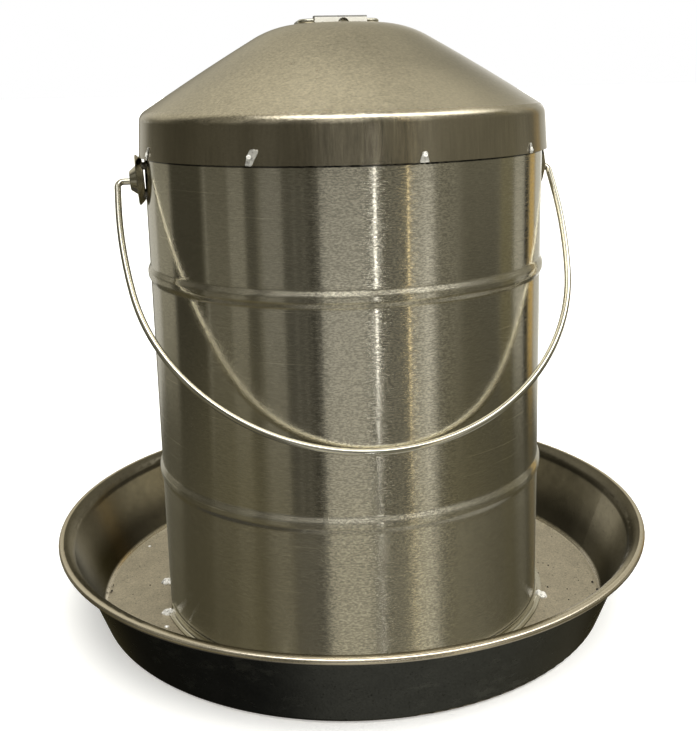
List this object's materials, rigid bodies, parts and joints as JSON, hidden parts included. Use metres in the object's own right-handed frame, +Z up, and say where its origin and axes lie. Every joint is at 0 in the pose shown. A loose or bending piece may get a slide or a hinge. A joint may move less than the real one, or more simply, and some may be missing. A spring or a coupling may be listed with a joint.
{
  "type": "poultry waterer fount",
  "caption": "Double-wall poultry fount of stainless sheet: a ribbed shell with a cone lid and a wire bail, lifting off an inner tank in a wide rolled-rim pan",
  "frame": {"origin": "centre of the pan's underside, on the surface that the fount stands on", "axes": "+X along the bail's hinge line towards the right ear, with the valve and outlet at -X; +Y away from the side where the bail hangs; +Z up along the axis of the pan, tank and shell"},
  "size_m": [0.395, 0.395, 0.3855],
  "materials": {
    "stainless_satin": "satin",
    "stainless_bright": "polished",
    "steel_wire": "polished",
    "weld_metal": "satin",
    "brass": "satin",
    "black_rubber": "matte",
    "grey_sealant": "matte"
  },
  "bodies": {
    "base": {"pan": "stainless_satin", "pan_rim_wire": "steel_wire", "foot_ring": "stainless_bright", "foot_ring_welds": "weld_metal", "tank_wall": "stainless_satin", "tank_rim_wire": "steel_wire", "tank_floor": "stainless_satin", "tank_foot_welds": "weld_metal", "valve_bush": "brass", "valve_outer_gasket": "black_rubber", "valve_inner_gasket": "black_rubber", "valve_nut": "brass"},
    "shell": {"shell_wall": "stainless_satin", "shell_seam_weld": "weld_metal", "lid": "stainless_satin", "lid_seal": "grey_sealant", "skirt_welds": "weld_metal", "ear_left": "stainless_bright", "ear_right": "stainless_bright", "ear_left_welds": "weld_metal", "ear_right_welds": "weld_metal", "ring_strap": "stainless_bright", "ring_strap_welds": "weld_metal"},
    "bail": {"bail_wire": "steel_wire"},
    "ring": {"hang_ring": "steel_wire"},
    "valve": {"valve_stem": "brass", "valve_washer": "black_rubber", "valve_clamp_nut": "brass", "valve_spring": "steel_wire"}
  },
  "joints": [
    {"name": "shell_lift", "type": "slide", "parent": "base", "child": "shell", "axis": [0, 0, 1], "range_m": [0, 0.2662]},
    {"name": "bail_swing", "type": "hinge", "parent": "shell", "child": "bail", "pos_m": [0, 0, 0.2862], "axis": [-1, 0, 0], "range_deg": [0, 276]},
    {"name": "ring_fold", "type": "hinge", "parent": "shell", "child": "ring", "pos_m": [0, 0, 0.3824], "axis": [1, 0, 0], "range_deg": [0, 180]},
    {"name": "valve_travel", "type": "slide", "parent": "base", "child": "valve", "axis": [-1, 0, 0], "range_m": [0, 0.0029], "stiffness_N_per_m": 200, "springref_m": 0.006, "deforming": ["valve_spring"]}
  ],
  "couplings": [
    {"joint": "valve_travel", "follows": "shell_lift", "ratio": 0.01089}
  ]
}
